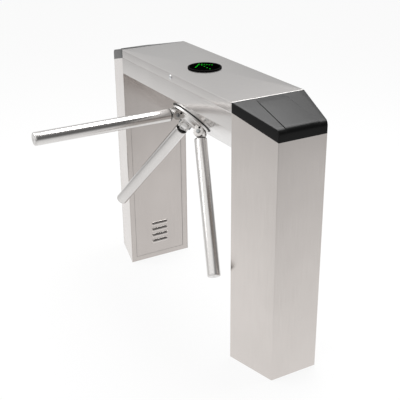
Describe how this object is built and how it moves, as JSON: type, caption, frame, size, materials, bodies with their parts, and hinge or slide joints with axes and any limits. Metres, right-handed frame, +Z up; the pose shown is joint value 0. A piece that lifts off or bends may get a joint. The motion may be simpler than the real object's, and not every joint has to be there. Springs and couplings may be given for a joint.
{
  "type": "tripod turnstile",
  "caption": "Waist-high tripod turnstile: bridge cabinet on tapered columns, slanted hub with angled arms, folding barrier arm, hinged lid, and doors in the columns.",
  "frame": {"origin": "floor level, in the middle between the two columns' anchor bolt patterns", "axes": "+X along the bridge to the near column, +Y away from the passage, +Z up"},
  "size_m": [1.254, 0.834, 0.985],
  "materials": {
    "satin_steel": "satin stainless sheet",
    "arm_steel": "polished stainless tube",
    "hub_metal": "satin cast alloy",
    "cap_plastic": "moulded",
    "black_rubber": "moulded",
    "black_plastic": "moulded",
    "lens_plastic": "dark tinted",
    "led_green": "lit",
    "board_green": "solder mask",
    "zinc_plate": "zinc plated",
    "cast_metal": "cast",
    "machined_steel": "machined",
    "dark_fasteners": "oiled",
    "lock_chrome": "plated",
    "coil_blue": "wound and taped",
    "clip_nylon": "moulded"
  },
  "bodies": {
    "cabinet": {"base_plates": "zinc_plate", "near_column_shell": "satin_steel", "far_column_shell": "satin_steel", "near_inner_panel": "satin_steel", "far_inner_panel": "satin_steel", "bridge_front_panel": "satin_steel", "bridge_back_panel": "satin_steel", "near_end_cap": "cap_plastic", "far_end_cap": "cap_plastic", "hinge_pins": "dark_fasteners", "lid_hinge_barrels": "zinc_plate", "hub_seal_ring": "black_rubber", "mechanism_plate": "zinc_plate", "frame_standoffs": "zinc_plate", "rear_plate": "zinc_plate", "bearing_housing": "cast_metal", "bearing_outer_rings": "machined_steel", "drive_motor": "cast_metal", "pawl_pins": "dark_fasteners", "lock_solenoids": "coil_blue", "encoder_sensor": "black_plastic", "control_board": "board_green", "power_supply": "zinc_plate", "wiring_harness": "black_plastic", "cable_clips": "clip_nylon", "cable_grommets": "black_rubber"},
    "lid": {"lid_panel": "satin_steel", "lid_hinge_leaves": "zinc_plate", "indicator_bezel": "black_plastic", "indicator_lens": "lens_plastic", "arrow_leds": "led_green", "indicator_board": "board_green"},
    "lid_lock": {"lid_lock": "lock_chrome"},
    "near_door": {"near_door_panel": "satin_steel"},
    "far_door": {"far_door_panel": "satin_steel"},
    "near_door_lock": {"near_door_lock": "lock_chrome"},
    "far_door_lock": {"far_door_lock": "lock_chrome"},
    "rotor": {"main_shaft": "machined_steel", "bearing_inner_rings": "machined_steel", "hub_flange": "hub_metal", "hub_body": "hub_metal", "shaft_fasteners": "dark_fasteners", "pivot_bolts": "dark_fasteners", "arm_plungers": "black_plastic", "main_gear": "machined_steel", "index_wheel": "machined_steel", "encoder_disc": "black_plastic", "lower_arm_knuckles": "hub_metal", "lower_arm_tubes": "arm_steel", "lower_arm_gaskets": "black_rubber", "lower_arm_plugs": "arm_steel"},
    "barrier_arm": {"barrier_knuckle": "hub_metal", "barrier_gasket": "black_rubber", "barrier_tube": "arm_steel", "barrier_plug": "arm_steel"},
    "motor_rotor": {"drive_pinion": "machined_steel"},
    "near_pawl": {"near_pawl": "machined_steel"},
    "far_pawl": {"far_pawl": "machined_steel"},
    "near_plunger": {"near_plunger": "machined_steel"},
    "far_plunger": {"far_plunger": "machined_steel"}
  },
  "joints": [
    {"name": "hub_spin", "type": "hinge", "parent": "cabinet", "child": "rotor", "pos_m": [0, -0.05802, 0.79602], "axis": [0, -0.7071, -0.7071], "continuous": true},
    {"name": "pinion_spin", "type": "hinge", "parent": "cabinet", "child": "motor_rotor", "pos_m": [0.064, 0.00562, 0.85966], "axis": [0, -0.7071, -0.7071], "continuous": true},
    {"name": "barrier_arm_fold", "type": "hinge", "parent": "rotor", "child": "barrier_arm", "pos_m": [0, -0.12799, 0.82204], "axis": [1, 0, 0], "range_deg": [0, 90]},
    {"name": "lid_hinge", "type": "hinge", "parent": "cabinet", "child": "lid", "pos_m": [0, 0.15, 0.945], "axis": [-1, 0, 0], "range_deg": [0, 75]},
    {"name": "lid_lock_turn", "type": "hinge", "parent": "lid", "child": "lid_lock", "pos_m": [0, -0.144, 0.965], "axis": [0, -1, 0], "range_deg": [0, 90]},
    {"name": "near_door_hinge", "type": "hinge", "parent": "cabinet", "child": "near_door", "pos_m": [0.43115, 0.1085, 0.341], "axis": [0, 0, -1], "range_deg": [0, 100]},
    {"name": "far_door_hinge", "type": "hinge", "parent": "cabinet", "child": "far_door", "pos_m": [-0.43115, 0.1085, 0.341], "axis": [0, 0, 1], "range_deg": [0, 100]},
    {"name": "near_door_lock_turn", "type": "hinge", "parent": "near_door", "child": "near_door_lock", "pos_m": [0.427, -0.1, 0.375], "axis": [-1, 0, 0], "range_deg": [0, 90]},
    {"name": "far_door_lock_turn", "type": "hinge", "parent": "far_door", "child": "far_door_lock", "pos_m": [-0.427, -0.1, 0.375], "axis": [-1, 0, 0], "range_deg": [0, 90]},
    {"name": "near_pawl_swing", "type": "hinge", "parent": "cabinet", "child": "near_pawl", "pos_m": [0.0639, 0.00025, 0.8919], "axis": [0, -0.7071, -0.7071], "range_deg": [0, 10]},
    {"name": "far_pawl_swing", "type": "hinge", "parent": "cabinet", "child": "far_pawl", "pos_m": [-0.0639, 0.00025, 0.8919], "axis": [0, 0.7071, 0.7071], "range_deg": [0, 10]},
    {"name": "near_plunger_slide", "type": "slide", "parent": "cabinet", "child": "near_plunger", "axis": [0.5, -0.6124, 0.6124], "range_m": [0, 0.0046]},
    {"name": "far_plunger_slide", "type": "slide", "parent": "cabinet", "child": "far_plunger", "axis": [-0.5, -0.6124, 0.6124], "range_m": [0, 0.0046]}
  ],
  "couplings": [
    {"joint": "pinion_spin", "follows": "hub_spin", "ratio": -3},
    {"joint": "near_plunger_slide", "follows": "near_pawl_swing", "m_per_rad": 0.0258},
    {"joint": "far_plunger_slide", "follows": "far_pawl_swing", "m_per_rad": 0.0258}
  ]
}
